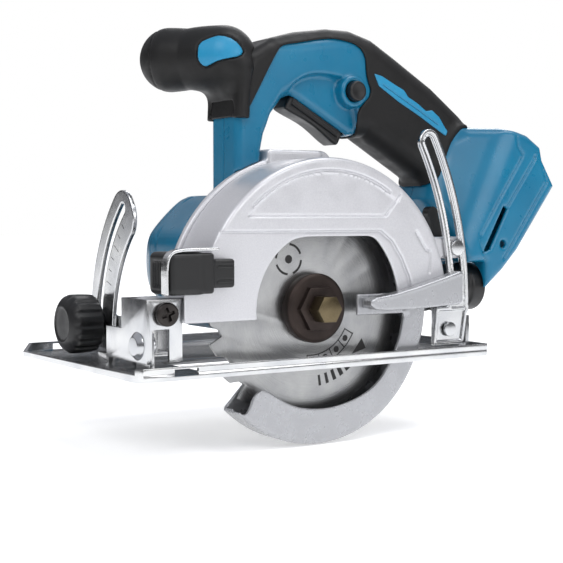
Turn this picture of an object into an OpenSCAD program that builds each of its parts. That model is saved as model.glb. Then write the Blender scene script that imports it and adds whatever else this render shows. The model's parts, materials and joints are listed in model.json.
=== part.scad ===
// Cordless circular saw with a 125 mm blade.
// Millimetres. X runs to the rear, Y to the motor side, Z up. The sole of the base is z = 0,
// the blade's middle plane is y = 0 and its axis is at x = 0.

/* [Blade] */
// Diameter over the tooth tips
blade_d = 125; // [110:1:125]
// Body thickness of the blade
blade_t = 1.6; // [1.2:0.1:1.8]
// Number of teeth
teeth = 24; // [18:2:36]
// Height of the blade axis over the sole at full depth
arbor_z = 30; // [29:0.5:31]

/* [Base] */
// Front edge of the base
base_x0 = -109; // [-112:1:-107]
// Rear edge of the base
base_x1 = 110; // [108:1:120]
// Blade-side edge of the base
base_y0 = -18; // [-20:0.5:-18]
// Motor-side edge of the base
base_y1 = 128; // [124:1:140]
// Sheet thickness of the base
plate_t = 2; // [1.5:0.1:2]
// Height of the turned-up rim
rim_h = 6.5; // [5.5:0.1:6.5]
// Height of the bevel axis over the sole
bevel_z = 15.5; // [15.5:0.5:16]

/* [Guards] */
// Outer radius of the upper guard
case_r = 77.5; // [77.5:0.5:78.5]
// Wall of the upper guard
case_wall = 2.5; // [2:0.1:2.5]
// Outer radius of the lower guard
guard_r = 70; // [68:0.5:70]
// Wall of the lower guard
guard_wall = 2; // [1.5:0.1:2]

/* [Bevel quadrant] */
// Radius of the middle of its slot
quad_slot_r = 88.4; // [88:0.1:89]
// Width of its slot
quad_slot_w = 6.2; // [6.1:0.1:7]
// Largest bevel angle
bevel_max = 45; // [30:1:45]

/* [Depth guide] */
// Radius of the middle of the guide's slot
guide_r = 185; // [184:0.5:186]
// Width of the guide strip
guide_w = 14; // [12:0.5:14]
// Width of the guide's slot
guide_slot = 5.6; // [5.2:0.1:6]

/* [Motor] */
// Outer radius of the motor housing
motor_r = 38; // [37.5:0.1:38]
// Teeth of the motor pinion
pinion_teeth = 10; // [10:1:10]
// Teeth of the spindle gear
gear_teeth = 45; // [45:1:45]

/* [Handle] */
// Width of the handle core
handle_w = 28; // [26:1:28]
// Wall of the plastic shells
shell_wall = 2.4; // [2:0.1:2.6]
// Radius of the front grip
bulb_r = 17.2; // [15:0.1:17.2]

/* [Hidden] */
$fn = 96;

// Colours
zinc = [0.78, 0.79, 0.80];
casting = [0.80, 0.81, 0.83];
blue = [0.09, 0.50, 0.67];
black = [0.13, 0.13, 0.13];
dark_steel = [0.22, 0.19, 0.18];

// Axes shared by several parts
case_x = 5;                         // the upper guard's centre, ahead of the blade axis
case_y0 = -13;                      // blade-side face of the upper guard
case_y1 = 18;                       // its motor-side edge
flange_y = 22;                      // motor-side face of the gear case's plate
pivot = [-90, 31];                  // depth pivot, in X and Z
motor = [-16, arbor_z + 22.4];      // motor axis, in X and Z
lock_at = [92.7, 60];               // depth lock bolt, in X and Z
mesh_turn = atan2(motor[1] - arbor_z, motor[0]);  // direction from the spindle to the motor
lock_pin_r = 17;                    // radius of the lock holes in the spindle gear
lock_pin_at = [0, arbor_z] - lock_pin_r * [cos(mesh_turn), sin(mesh_turn)];
knob_at = [quad_slot_r * cos(2.6), bevel_z + quad_slot_r * sin(2.6)];  // bevel bolt, in Y and Z
port_at = [13, 37];                 // axis of the dust port, in Y and Z
port_bore_r = 10.5;
mid_y = 32;                         // parting plane of the handle shells
handle_y0 = mid_y - handle_w / 2;
handle_y1 = mid_y + handle_w / 2;
trigger_at = [3, 141.5];            // front end of the trigger slot, in X and Z
trigger_tilt = 29;
bulb_axis_turn = 128.2;             // direction of the front grip in the XY plane
bulb_at = [-29, 30, 160];
rear_face_at = [119, 36];           // foot of the battery face, in X and Z
rear_face_tilt = 47.6;
screw_turns = [20, 60, 130, 165];   // places of the case screws round the upper guard

// Core outline of the column and the grip, in X and Z
handle_outline = [[-33, 80], [-17.5, 80], [-17.5, 111], [-14.5, 122], [-10, 132.5],
    [-3, 139.5], [3, 141.5], [40, 121], [52, 122.5], [91.5, 100], [96, 97], [112, 105],
    [130, 128], [99, 150], [70, 166.5], [56, 174], [42, 178], [28, 177.5], [8.5, 174.5],
    [-9, 169.5], [-25, 160.5], [-31, 147], [-33, 128]];
// Outline of the battery foot, in X and Z
foot_outline = [[118.5, 36], [132, 46.5], [143.5, 57.8], [172.5, 95], [162.8, 110],
    [161, 117.5], [150.5, 124], [134.8, 128], [116, 128.4], [104, 122], [97, 104], [92, 87],
    [106, 51.5], [118.5, 51.5]];
foot_y0 = -4.5;
foot_y1 = 68.5;
// Where the rubber covers the handle, in X and Z
rubber_area = [[-45, 124], [-24, 124], [-9, 158], [6, 168.5], [46, 172.5], [56, 160],
    [50, 118], [60, 100], [90, 96], [94, 101], [128, 129.5], [100, 160], [60, 190], [0, 190],
    [-45, 170]];
rubber_t = 1.4;
// Handle screws: X, Z, and the inner and outer faces of the shells there
handle_screw_at = [[-25, 104, handle_y0, handle_y1], [12, 158, handle_y0, handle_y1],
    [75, 145, handle_y0, handle_y1], [112, 62, foot_y0, foot_y1], [140, 112, foot_y0, foot_y1]];

function unit(v) = v / norm(v);
// Moves a counter-clockwise outline inwards by d (outwards where d is negative)
function inset(pts, d) = [for (i = [0:len(pts) - 1])
    let (p = pts[i],
        u = unit(p - pts[(i + len(pts) - 1) % len(pts)]),
        v = unit(pts[(i + 1) % len(pts)] - p),
        n1 = [-u.y, u.x],
        n2 = [-v.y, v.x])
    p + d * (n1 + n2) / (1 + n1 * n2)];
function polar(r, a) = [r * cos(a), r * sin(a)];
// A pie slice from angle a0 to a1 that reaches past radius r
function slice(r, a0, a1) = concat([[0, 0]],
    [for (i = [0:6]) polar(1.2 * r, a0 + (a1 - a0) * i / 6)]);
// Simple gear outline with straight-sided teeth of module 1
function gear_outline(n, first) = [for (i = [0:n - 1], k = [0:3])
    let (r = n / 2,
        a = first + (i + [-0.29, -0.13, 0.13, 0.29][k]) * 360 / n)
    polar([r - 1.2, r + 0.9, r + 0.9, r - 1.2][k], a)];

module box(lo, hi) translate(lo) cube(hi - lo);
module along_y(y0, y1) translate([0, y1, 0]) rotate([90, 0, 0]) linear_extrude(y1 - y0) children();
module along_x(x0, x1) translate([x0, 0, 0]) rotate([90, 0, 90]) linear_extrude(x1 - x0) children();
module rod_y(at, r, y0, y1) translate([at[0], y1, at[1]]) rotate([90, 0, 0]) cylinder(r = r, h = y1 - y0);
module rod_x(at, r, x0, x1) translate([x0, at[0], at[1]]) rotate([0, 90, 0]) cylinder(r = r, h = x1 - x0);
module rod_z(at, r, z0, z1) translate([at[0], at[1], z0]) cylinder(r = r, h = z1 - z0);
module hex_y(at, flats, y0, y1) translate([at[0], y1, at[1]]) rotate([90, 0, 0])
    cylinder(r = flats / 2 / cos(30), h = y1 - y0, $fn = 6);
module tube_y(at, r_in, r_out, y0, y1) difference() {
    rod_y(at, r_out, y0, y1);
    rod_y(at, r_in, y0 - 1, y1 + 1);
}
// A bent strip: a ring between two radii, from angle a0 to a1
module arc_strip(r0, r1, a0, a1) intersection() {
    difference() {
        circle(r1, $fn = 180);
        circle(r0, $fn = 180);
    }
    polygon(slice(r1, a0, a1));
}
// A bent slot of radius r and width w with round ends
module arc_slot(r, w, a0, a1) {
    arc_strip(r - w / 2, r + w / 2, a0, a1);
    for (a = [a0, a1]) translate(polar(r, a)) circle(w / 2, $fn = 32);
}
module case_ring(r, y0, y1) rod_y([case_x, arbor_z], r, y0, y1);
// Places its children in the trigger's own frame: X along the slot, Z into the handle
module trigger_frame() translate([trigger_at[0], 0, trigger_at[1]]) rotate([0, trigger_tilt, 0]) children();
// Places its children in the battery face's frame: X up the face, Z into the foot
module battery_frame() translate([rear_face_at[0], 0, rear_face_at[1]])
    rotate([0, -rear_face_tilt, 0]) children();
module front_grip_frame() translate(bulb_at) rotate([0, 0, bulb_axis_turn]) rotate([0, 90, 0]) children();

// ---- Base ----
base_corner = 3;
base_outline = [[base_x0 + base_corner, base_y0], [base_x1 - base_corner, base_y0],
    [base_x1, base_y0 + base_corner], [base_x1, base_y1 - 8], [base_x1 - 8, base_y1],
    [base_x0 + 6, base_y1], [base_x0, base_y1 - 6], [base_x0, base_y0 + base_corner]];
rivet_r = 3;
running = 0.06;

module base_plate() color(zinc) difference() {
    union() {
        difference() {
            linear_extrude(rim_h) polygon(base_outline);
            translate([0, 0, plate_t]) linear_extrude(rim_h) polygon(inset(base_outline, plate_t));
        }
        box([-97, -7, 0], [-94.5, 7, bevel_z + 6.5]);
        box([101, -7, 0], [103.5, 7, bevel_z + 6.5]);
        for (x = [-94, -74.2]) box([x, 47, plate_t - 0.5], [x + 1.6, 57, 7.4]);
        box([-94, 47, 5.8], [-72.6, 57, 7.4]);
    }
    box([-68, -13.5, -1], [80, 38, plate_t + 1]);
    box([-89.5, base_y0 - 1, plate_t], [-76.5, base_y0 + 3, plate_t + 3.4]);
    box([-89.5, base_y1 - 3, plate_t], [-76.5, base_y1 + 1, plate_t + 3.4]);
    rod_x([0, bevel_z], rivet_r + running, -98, -94);
    rod_x([0, bevel_z], rivet_r + running, 100, 104);
    rod_z([-83.5, 52], 2 + running, 5, 8);
}

quad_r0 = 72;
quad_r1 = 99.5;
quad_x = [-78.5, -76];
module bevel_quadrant() color(zinc) difference() {
    union() {
        intersection() {
            along_x(quad_x[0], quad_x[1]) translate([0, bevel_z]) {
                arc_strip(quad_r0, quad_r1, -12, bevel_max + 1.5);
                arc_strip(quad_r0, quad_r1 - 9, -12, bevel_max + 7);
                translate(polar(quad_r1 - 9, bevel_max + 1.5)) circle(9, $fn = 48);
            }
            box([quad_x[0], 0, plate_t], [quad_x[1], 120, 120]);
        }
        box([quad_x[0], quad_r0 - 0.5, plate_t], [-66, quad_r1 - 1.5, plate_t + 2]);
    }
    along_x(quad_x[0] - 1, quad_x[1] + 1) translate([0, bevel_z])
        arc_slot(quad_slot_r, quad_slot_w, 2.2, bevel_max + 3);
    for (y = [78, 92]) rod_z([-71, y], 2, 1, 5);
}

module quadrant_rivets() color(zinc) for (y = [78, 92]) {
    rod_z([-71, y], 2, plate_t, plate_t + 2);
    rod_z([-71, y], 3.4, plate_t + 2, plate_t + 3.2);
}

module fence_screw() color(dark_steel) {
    rod_z([-83.5, 52], 2, 5.9, 8);
    translate([-83.5, 52, 7.6]) cylinder(r1 = 6, r2 = 5.4, h = 5);
}

// ---- Tilting frame ----
module front_bracket() color(zinc) difference() {
    union() {
        box([-100, -10, 7.5], [-97.5, 34, 23]);
        box([-100, -10, 20], [-97.5, 17, 38]);
        box([-100, -10, 8], [-81, -8, 38]);
        box([-100, 15, 8], [-81, 17, 38]);
        box([-100, 15, 8], [-73, 34, 10]);
        box([-75.5, 15, 8], [-73, 99, 24]);
    }
    rod_x([0, bevel_z], rivet_r, -101, -97);
    rod_y(pivot, rivet_r, -11, 18);
    rod_x(knob_at, rivet_r + running, -76, -72);
    box([-97.3, -11, 7], [-88, -7.5, 23.8]);
}

module rear_bracket() color(zinc) difference() {
    union() {
        box([79, -5.5, 6.5], [100.5, -3.5, 27]);
        box([98, -5.5, 6.5], [100.5, 9, 24]);
    }
    rod_x([0, bevel_z], rivet_r, 97, 101);
    rod_y([88, 15], 2.5, -6, -3);
}

module bevel_rivets() color(zinc) {
    rod_x([0, bevel_z], rivet_r, -100, -94.2);
    rod_x([0, bevel_z], 5.2, -94.2, -92.4);
    translate([-100, 0, bevel_z]) rotate([0, -90, 0]) cylinder(r1 = 7, r2 = 4.5, h = 2.4);
    rod_x([0, bevel_z], rivet_r, 98, 103.8);
    rod_x([0, bevel_z], 5.2, 103.8, 105.6);
}

module guide_plane() translate([0, -5.5, 0]) rotate([90, 0, 0]) linear_extrude(2.5) children();
module depth_guide() color(zinc) difference() {
    guide_plane() {
        translate(pivot) arc_strip(guide_r - guide_w / 2, guide_r + guide_w / 2, -2, 27.9);
        translate(pivot + polar(guide_r, 27.9)) circle(guide_w / 2, $fn = 64);
        polygon([[79, 27.5], [77, 6.5], [98.5, 6.5], [101.8, 27.5]]);
    }
    guide_plane_cut() translate(pivot) arc_slot(guide_r, guide_slot, 1.5, 28);
    rod_y([88, 15], 2.5, -9, -5);
}
module guide_plane_cut() translate([0, -5, 0]) rotate([90, 0, 0]) linear_extrude(4) children();

module guide_rivet() color(zinc) {
    rod_y([88, 15], 2.5, -8, -3.5);
    rod_y([88, 15], 4, -9.4, -8);
}

module depth_pivot_screw() color(dark_steel) {
    rod_y(pivot, rivet_r, -10, 17);
    difference() {
        rod_y(pivot, 5.8, -13.3, -10);
        for (turn = [0, 90]) translate([pivot[0], -13.3, pivot[1]]) rotate([0, turn + 20, 0])
            cube([6.4, 3.6, 1.5], center = true);
    }
    hex_y(pivot, 10, 17, 21.5);
}

// ---- Bevel clamp ----
module bevel_knob() color(black) difference() {
    union() {
        rod_x(knob_at, 15.3, -101, -82);
        for (i = [0:9]) rotate_at_knob(i * 36) box([-98, -3.4, 0], [-84, 3.4, 16.2]);
        rod_x(knob_at, 7.5, -82, -79);
    }
    rod_x(knob_at, rivet_r, -98, -78);
}
module rotate_at_knob(a) translate([0, knob_at[0], knob_at[1]]) rotate([a, 0, 0]) children();

module bevel_bolt() color(zinc) {
    rod_x(knob_at, rivet_r, -98, -73);
    rod_x(knob_at, 5.4, -72.7, -69);
    rod_x(knob_at, rivet_r, -73, -72.7);
}

// ---- Saw body ----
module upper_guard() color(casting) difference() {
    union() {
        case_ring(case_r, case_y0, case_y1);
        box([-81, case_y0, 26], [-60, case_y0 + 2, 40]);
        box([-90, -7.5, 26], [-66, 14.5, 38]);
        rod_y(pivot, 7, -7.5, 14.5);
        box([70, -5.2, 54], [99, 3, 66]);
    }
    difference() {
        case_ring(case_r - case_wall, case_y0 + 2, case_y1 + 1);
        for (a = screw_turns) let (c = [case_x, arbor_z] + polar(73, a)) rod_y(c, 4, 9, case_y1);
    }
    box([-71, -20, -60], [90, 30, 26]);
    box([-38, -20, -60], [90, 30, arbor_z]);
    box([-100, -20, -60], [-60, 30, 24]);
    window();
    rod_y(pivot, rivet_r + running, -8, 15);
    rod_y(lock_at, 2.5 + running, -6, 4);
    for (a = screw_turns) let (c = [case_x, arbor_z] + polar(73, a)) rod_y(c, 2, 10, case_y1 + 1);
    rod_x(port_at, 9.5, 60, 90);
}
// Opening in the blade-side face, through which the flange and the blade show
module window() intersection() {
    union() {
        intersection() {
            rod_y([0, arbor_z], 40, case_y0 - 1, case_y0 + 3);
            box([-60, -20, -20], [0, 0, 90]);
        }
        intersection() {
            rod_y([0, arbor_z], 49, case_y0 - 1, case_y0 + 3);
            box([0, -20, -20], [60, 0, 90]);
        }
    }
    box([-60, -20, -20], [60, 0, arbor_z + 37]);
}

module gear_case() color(casting) difference() {
    union() {
        intersection() {
            case_ring(79.5, case_y1, flange_y);
            box([-80, 10, 28], [90, 40, 120]);
        }
        rod_y([0, arbor_z], 20.5, 5.5, case_y1 + 1);
        rod_y([0, arbor_z], 27, flange_y - 1, 38);
        rod_y(motor, motor_r, flange_y - 1, 38);
        rod_y([0, arbor_z], 13, 37, 43);
        box([-15, case_y1, 98], [20, 34, 112.5]);
        rod_y([20, 105.5], 7, case_y1, 34);
    }
    rod_y([0, arbor_z], 24.6, 23.5, 34);
    rod_y(motor, 9, 23.5, 34);
    rod_y([0, arbor_z], 8, 5, 43.5);
    rod_y([0, arbor_z], 14, 12, 20);
    rod_y([0, arbor_z], 11, 34, 41);
    rod_y(motor, 5, 33, 39);
    rod_y(motor, 9.5, 34.5, 38.5);
    for (a = screw_turns) let (c = [case_x, arbor_z] + polar(73, a)) rod_y(c, 2, 17, 23);
    rod_y(lock_pin_at, 2.5, 33, 39);
}

module motor_housing() color(blue) difference() {
    rod_y(motor, motor_r, 38, 78);
    rod_y(motor, motor_r - shell_wall, 37, 79);
    for (a = [-60:15:30]) rod_vent(a);
    rod_y([0, arbor_z], 13.3, 37, 43.4);
}
// One cooling slot through the motor housing's rear wall
module rod_vent(a) translate([motor[0], 0, motor[1]]) rotate([0, a, 0])
    box([20, 48, -1.5], [45, 66, 1.5]);

module motor_end_cap() color(blue) difference() {
    union() {
        rod_y(motor, motor_r, 78, 82);
        translate([motor[0], 96, motor[1]]) rotate([90, 0, 0]) cylinder(r1 = 28, r2 = motor_r, h = 14);
    }
    translate([motor[0], 93.5, motor[1]]) rotate([90, 0, 0]) cylinder(r1 = 24, r2 = 34, h = 16);
    for (a = [0:30:330]) translate([motor[0], 0, motor[1]]) rotate([0, a, 0])
        box([14, 90, -1.6], [23, 98, 1.6]);
}

module shell_solid(y0, y1, f0, f1) {
    along_y(y0, y1) polygon(handle_outline);
    along_y(f0, f1) polygon(foot_outline);
}
module shell_cuts() {
    rod_y(motor, motor_r + 0.05, 17, 60);
    case_ring(79.6, 10, flange_y + 0.05);
    box([-15.1, 17, 90], [28, 34.1, 112.6]);
    trigger_frame() box([0.5, mid_y - 7, -12], [42, mid_y + 7, 16.8]);
    rod_y(button_at, 5.58, 0, 70);
    rod_x(port_at, 14.4, 95, 160);
    battery_frame() {
        box([24, 15, -12], [84, 49, 4]);
        box([24, 11, 4], [84, 53, 10]);
    }
}
button_at = [40, 145];

// Wall of the channel that leaves the dust hose room under the foot
module hose_channel_wall() intersection() {
    rod_x(port_at, 16.6, 95, 160);
    along_y(foot_y0, mid_y) polygon(foot_outline);
}
module screw_post(p, r, y0, y1) rod_y([p[0], p[1]], r, y0, y1);
module handle_shell_near() color(blue) difference() {
    union() {
        difference() {
            shell_solid(handle_y0, mid_y, foot_y0, mid_y);
            along_y(handle_y0 + shell_wall, mid_y + 1) polygon(inset(handle_outline, shell_wall));
            along_y(foot_y0 + shell_wall, mid_y + 1) polygon(inset(foot_outline, shell_wall));
        }
        for (p = handle_screw_at) screw_post(p, 4, p[2] + 1, mid_y);
        rod_y(button_at, 7.6, handle_y0 - 2.5, handle_y0 + 1);
        battery_frame() box([22, 9, 3], [86, mid_y, 12]);
        hose_channel_wall();
    }
    shell_cuts();
    for (p = handle_screw_at) screw_post(p, 1.5, 24, mid_y + 1);
}
module handle_shell_far() color(blue) difference() {
    union() {
        difference() {
            shell_solid(mid_y, handle_y1, mid_y, foot_y1);
            along_y(mid_y - 1, handle_y1 - shell_wall) polygon(inset(handle_outline, shell_wall));
            along_y(mid_y - 1, foot_y1 - shell_wall) polygon(inset(foot_outline, shell_wall));
        }
        for (p = handle_screw_at) screw_post(p, 4.6, mid_y, p[3] - 1);
        battery_frame() box([22, mid_y, 3], [86, 55, 12]);
    }
    shell_cuts();
    for (p = handle_screw_at) {
        screw_post(p, 1.6, mid_y - 1, p[3] + 1);
        screw_post(p, 3.4, p[3] - 4, p[3] + 1);
    }
}

module grip_overmould() color(black) difference() {
    along_y(handle_y0 - rubber_t, handle_y1 + rubber_t) intersection() {
        polygon(inset(handle_outline, -rubber_t));
        polygon(rubber_area);
    }
    along_y(handle_y0, handle_y1) polygon(handle_outline);
    for (p = handle_screw_at) screw_post(p, 3.4, mid_y, handle_y1 + 5);
    along_y(foot_y0, foot_y1) polygon(foot_outline);
}

inlay_outline = [[55, 157], [59, 150], [80, 137.5], [90, 130], [104, 123], [108.5, 125],
    [102, 137.5], [92, 141], [84, 143], [76, 148], [66, 153]];
module grip_inlay() color(blue)
    along_y(handle_y0 - rubber_t - 0.6, handle_y0 - rubber_t) polygon(inlay_outline);

bulb_len = 51;
module front_grip() color(black) difference() {
    front_grip_frame() rotate_extrude() polygon(bulb_profile);
    along_y(handle_y0 - rubber_t, handle_y1 + rubber_t) polygon(inset(handle_outline, -rubber_t));
    front_grip_frame() inlay_disc(7.5);
}
// Half outline of the front grip, radius against distance along its axis
bulb_profile = concat([[0, -12]],
    [for (a = [-60:20:0]) [bulb_r * cos(a), 4 + 17 * sin(a)]],
    [[bulb_r - 0.8, 22]],
    [for (a = [0:15:75]) [bulb_r * cos(a), 34 + 17 * sin(a)]],
    [[0, bulb_len]]);
module inlay_disc(r) translate([0, 0, 7]) rotate([-90, 0, 0]) translate([0, 0, bulb_r - 2.5])
    cylinder(r = r, h = 2.6);
module front_grip_inlay() color(blue) difference() {
    front_grip_frame() inlay_disc(7.4);
    along_y(handle_y0 - rubber_t - 0.1, handle_y1 + rubber_t + 0.1)
        polygon(inset(handle_outline, -rubber_t - 0.1));
}

module nozzle() color(black) {
    box([-92, -19, 40], [-73, 4, 60.5]);
    box([-73, -19, 40.5], [-68, case_y0 - 0.05, 60]);
    box([-68, -18, 43], [-56, case_y0 - 0.05, 57]);
}

module dust_port() color(black) difference() {
    union() {
        rod_x(port_at, 12.6, 76, 112);
        rod_x(port_at, 13.7, 112, 122);
    }
    rod_x(port_at, 9.5, 70, 123);
    rod_x(port_at, port_bore_r, 100, 123);
    case_ring(case_r, case_y0, case_y1);
    case_ring(79.6, case_y1 - 0.1, flange_y + 0.1);
    rod_y([0, arbor_z], 78, flange_y, 30);
}

module switch_module() color(black) trigger_frame() box([5, 23, 17.6], [24.5, 41, 34]);
module controller_board() color([0.1, 0.35, 0.2]) box([106, 14, 74], [112, 50, 100]);
module battery_terminals() color([0.75, 0.6, 0.3]) battery_frame() {
    box([44, 22, 6], [58, 42, 9.9]);
    for (y = [24.5, 31.5, 38.5]) box([58, y, 6.5], [69, y + 1, 9.5]);
}

module stator() color([0.6, 0.42, 0.25]) difference() {
    rod_y(motor, motor_r - shell_wall - 0.1, 47, 75);
    rod_y(motor, 16.3, 46, 76);
}
module bearing(at, r_in, r_out, y0, y1) color([0.7, 0.7, 0.72]) tube_y(at, r_in, r_out, y0, y1);
module motor_bearing_front() bearing(motor, 3.02, 9.48, 34.6, 38.4);
module motor_bearing_rear() bearing(motor, 3.02, 9.5, 86, 92);
module spindle_bearing_front() bearing([0, arbor_z], 6.02, 13.98, 12, 20);
module spindle_bearing_rear() bearing([0, arbor_z], 4.02, 10.98, 34.2, 41);

module case_screws() color(dark_steel) for (a = screw_turns)
    let (c = [case_x, arbor_z] + polar(73, a)) {
        rod_y(c, 1.98, 11, flange_y);
        difference() {
            rod_y(c, 3.6, flange_y, flange_y + 3);
            hex_y(c, 3, flange_y + 1.4, flange_y + 4);
        }
    }
module handle_screws() color(dark_steel) for (p = handle_screw_at) {
    screw_post(p, 1.45, 25, p[3] - 4);
    difference() {
        screw_post(p, 3, p[3] - 4, p[3] - 1.6);
        translate([p[0], p[3] - 1.6, p[1]]) cube([3.6, 2, 0.8], center = true);
        translate([p[0], p[3] - 1.6, p[1]]) cube([0.8, 2, 3.6], center = true);
    }
}
module guard_spring() color(zinc) for (y = [13.4, 14.9, 16.4])
    translate([0, y, arbor_z]) rotate([90, 0, 0]) rotate_extrude() translate([22, 0]) circle(0.7, $fn = 16);
module guard_bumper() color(black) let (c = [0, arbor_z] + polar(62, 150)) rod_y(c, 4, 9.5, case_y1);

// ---- Depth lock ----
lever_turn = 107;
module depth_lever() color(black) difference() {
    union() {
        rod_y(lock_at, 6, 3.3, 11);
        translate([lock_at[0], 0, lock_at[1]]) rotate([0, -lever_turn, 0]) box([0, 5, -3.2], [20, 10, 3.2]);
        rod_y(lock_at + polar(20, lever_turn), 3.6, 5, 10);
    }
    rod_y(lock_at, 2.5, 3, 9);
}
module depth_bolt() color(zinc) {
    rod_y(lock_at, 2.5, -8.3, 9);
    rod_y(lock_at, 4.3, -9.6, -8.3);
}

// ---- Cutting drive ----
module spindle() color([0.6, 0.6, 0.62]) difference() {
    union() {
        rod_y([0, arbor_z], 6, -0.7, 33.6);
        rod_y([0, arbor_z], 4, 33.6, 42);
    }
    rod_y([0, arbor_z], 3, -1, 14);
}
module drive_gear() color([0.5, 0.5, 0.5]) difference() {
    along_y(25, 33) translate([0, arbor_z]) polygon(gear_outline(gear_teeth, mesh_turn));
    rod_y([0, arbor_z], 6.02, 24, 34);
    for (a = [0:90:270]) rod_y([0, arbor_z] + polar(lock_pin_r, mesh_turn + a), 2.8, 24, 34);
}
module pinion() color([0.5, 0.5, 0.5]) difference() {
    along_y(24.6, 33.4) translate(motor)
        polygon(gear_outline(pinion_teeth, mesh_turn + 180 + 180 / pinion_teeth));
    rod_y(motor, 3.02, 24, 34);
}
module inner_flange() color(dark_steel) difference() {
    union() {
        rod_y([0, arbor_z], 18, blade_t / 2, 5);
        rod_y([0, arbor_z], 9.95, -blade_t / 2, blade_t / 2);
    }
    rod_y([0, arbor_z], 6.02, -2, 6);
}
module outer_flange() color(dark_steel) difference() {
    union() {
        rod_y([0, arbor_z], 18, -6, -blade_t / 2);
        translate([0, -6, arbor_z]) rotate([90, 0, 0]) cylinder(r1 = 18, r2 = 16.5, h = 1);
        hex_y([0, arbor_z], 22, -10, -6);
    }
    rod_y([0, arbor_z], 3.02, -11, 0);
}
// One carbide tooth pitch: gullet floor, back and tip
function tooth(i) = let (p = 360 / teeth, a = i * p, r = blade_d / 2)
    [polar(r, a), polar(r - 2, a + 0.42 * p), polar(r - 6.5, a + 0.62 * p), polar(r - 7.5, a + 0.86 * p)];
module blade() color([0.75, 0.76, 0.78]) difference() {
    along_y(-blade_t / 2, blade_t / 2) translate([0, arbor_z])
        polygon([for (i = [0:teeth - 1]) each tooth(i)]);
    rod_y([0, arbor_z], 10, -2, 2);
}
module blade_bolt() color([0.47, 0.41, 0.33]) {
    rod_y([0, arbor_z], 2.98, -10, 13);
    hex_y([0, arbor_z], 13, -18.5, -10);
}
module rotor() color([0.5, 0.5, 0.52]) {
    rod_y(motor, 3, 24, 92);
    rod_y(motor, 15.3, 47, 75);
}
module fan() color(black) difference() {
    union() {
        rod_y(motor, 8, 78.5, 83.5);
        rod_y(motor, 29, 78.5, 79.7);
        for (a = [0:30:330]) translate([motor[0], 0, motor[1]]) rotate([0, a, 0])
            box([7, 78.6, -0.6], [28.5, 83.5, 0.6]);
    }
    rod_y(motor, 3.02, 78, 84);
}

// ---- Lower guard ----
guard_a0 = 226;
guard_a1 = 390;
module guard_arc(r0, r1, a0, a1, y0, y1) along_y(y0, y1) translate([0, arbor_z]) arc_strip(r0, r1, a0, a1);
module lower_guard() color([0.72, 0.73, 0.76]) difference() {
    union() {
        guard_arc(guard_r - guard_wall, guard_r, guard_a0, guard_a1, -9.8, 8);
        guard_arc(50.5, guard_r - 0.5, 236, 372, -9.8, -7.8);
        guard_arc(24, guard_r - 0.5, guard_a0 - 4, guard_a1, 6, 8);
        rod_y([0, arbor_z], 26, 6, 12);
        box([23.5, -9.8, 25], [54, -7.8, 36.5]);
    }
    rod_y([0, arbor_z], 20.58, 5, 13);
}
lever_outline = [[23.5, 28], [34, 28], [60, 28.5], [86, 30], [86, 47.5], [72, 44], [40, 38], [23.5, 37.5]];
module guard_lever() color(casting) {
    along_y(-22, -14) polygon(lever_outline);
    box([24.5, -14, 28.5], [33.5, -9.8, 36]);
}

// ---- Controls ----
module trigger() color(black) trigger_frame() box([1.2, mid_y - 6.5, -6.5], [41.2, mid_y + 6.5, 8]);
module lock_off_button() color(black) rod_y(button_at, 5.5, 11.5, 48.5);
module spindle_lock_button() color(black) {
    rod_y(lock_pin_at, 2.42, 33.8, 42);
    rod_y(lock_pin_at, 3.8, 41.5, 45);
}

base_plate();
bevel_quadrant();
quadrant_rivets();
fence_screw();
front_bracket();
rear_bracket();
bevel_rivets();
depth_guide();
guide_rivet();
depth_pivot_screw();
bevel_knob();
bevel_bolt();
upper_guard();
gear_case();
motor_housing();
motor_end_cap();
handle_shell_near();
handle_shell_far();
grip_overmould();
grip_inlay();
front_grip();
front_grip_inlay();
nozzle();
dust_port();
switch_module();
controller_board();
battery_terminals();
stator();
motor_bearing_front();
motor_bearing_rear();
spindle_bearing_front();
spindle_bearing_rear();
case_screws();
handle_screws();
guard_spring();
guard_bumper();
depth_lever();
depth_bolt();
spindle();
drive_gear();
inner_flange();
outer_flange();
blade();
blade_bolt();
rotor();
pinion();
fan();
lower_guard();
guard_lever();
trigger();
lock_off_button();
spindle_lock_button();
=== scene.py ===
# Looks of the cordless circular saw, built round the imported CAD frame. Moulded and cast pieces are
# distance fields on voxels, in millimetres; most metal pieces are CAD nodes with softened edges.
# X runs to the rear, Y to the motor side, Z up; the blade's middle plane is y = 0.
import json
import math

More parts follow.
